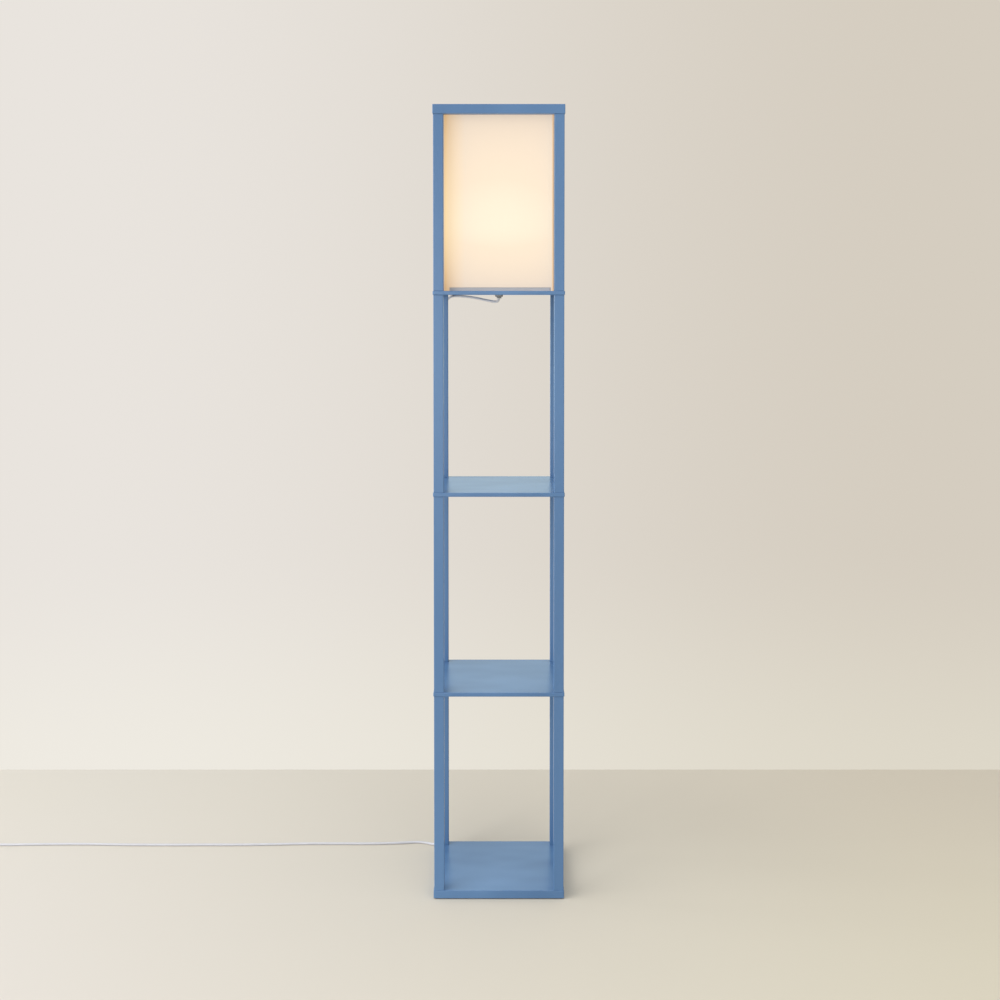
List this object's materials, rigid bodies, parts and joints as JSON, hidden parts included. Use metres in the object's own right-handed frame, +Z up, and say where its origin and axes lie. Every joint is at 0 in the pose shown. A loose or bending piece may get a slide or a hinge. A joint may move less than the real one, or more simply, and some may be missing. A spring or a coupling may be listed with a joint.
{
  "type": "shelf floor lamp",
  "caption": "Square tower floor lamp: open shelf bays between slim posts, a tall box-shaped fabric shade in the highest bay, and a corded bulb holder inside it.",
  "frame": {"origin": "centre of the square footprint, on the floor that the felt feet rest on", "axes": "+Z up along the tower, +X to the right and +Y to the back as seen from the front"},
  "size_m": [1.4358, 0.2972, 1.588],
  "materials": {
    "painted_wood": "satin paint",
    "felt": "felt",
    "zinc_plated_steel": "zinc plated",
    "beech": "bare",
    "shade_fabric": "woven cloth on a clear stiff sheet",
    "white_steel": "gloss enamel",
    "holder_plastic": "gloss",
    "brass": "plain",
    "bulb_aluminium": "plain",
    "opal_glass": "opal",
    "cord_vinyl": "satin",
    "white_plastic": "satin"
  },
  "bodies": {
    "tower": {"base_board": "painted_wood", "lower_shelf": "painted_wood", "middle_shelf": "painted_wood", "lamp_shelf": "painted_wood", "front_rail": "painted_wood", "back_rail": "painted_wood", "left_rail": "painted_wood", "right_rail": "painted_wood", "post_bottom_front_left": "painted_wood", "post_bottom_front_right": "painted_wood", "post_bottom_back_left": "painted_wood", "post_bottom_back_right": "painted_wood", "post_middle_front_left": "painted_wood", "post_middle_front_right": "painted_wood", "post_middle_back_left": "painted_wood", "post_middle_back_right": "painted_wood", "post_upper_front_left": "painted_wood", "post_upper_front_right": "painted_wood", "post_upper_back_left": "painted_wood", "post_upper_back_right": "painted_wood", "post_lamp_front_left": "painted_wood", "post_lamp_front_right": "painted_wood", "post_lamp_back_left": "painted_wood", "post_lamp_back_right": "painted_wood", "felt_feet": "felt", "threaded_inserts": "zinc_plated_steel", "hanger_bolts": "zinc_plated_steel", "base_screws": "zinc_plated_steel", "nipple": "zinc_plated_steel", "lock_nut": "zinc_plated_steel", "post_dowels": "beech", "frame_dowels": "beech", "shade_front": "shade_fabric", "shade_back": "shade_fabric", "shade_left": "shade_fabric", "shade_right": "shade_fabric", "shade_overlap": "shade_fabric", "shade_top_wire": "white_steel", "shade_frame": "white_steel", "cord_bushing": "holder_plastic", "holder_cap": "holder_plastic", "holder_body": "holder_plastic", "screw_shell": "brass", "centre_contact": "brass", "plug_blades": "brass", "holder_wires": "cord_vinyl", "cord_lead": "cord_vinyl", "cord_link": "cord_vinyl", "cord_coil": "cord_vinyl", "cord_clips": "white_plastic", "switch_lower": "white_plastic", "switch_upper": "white_plastic", "switch_reliefs": "white_plastic", "plug_body": "white_plastic"},
    "bulb": {"bulb_tip": "brass", "bulb_cap": "bulb_aluminium", "bulb_globe": "opal_glass"},
    "rocker": {"switch_rocker": "white_plastic"}
  },
  "joints": [
    {"name": "bulb_lift", "type": "slide", "parent": "tower", "child": "bulb", "axis": [0, 0, 1], "range_m": [0, 0.36]},
    {"name": "switch_rock", "type": "hinge", "parent": "tower", "child": "rocker", "pos_m": [-1.187, 0.149, 0.014], "axis": [0, -1, 0], "range_deg": [0, 18]}
  ]
}
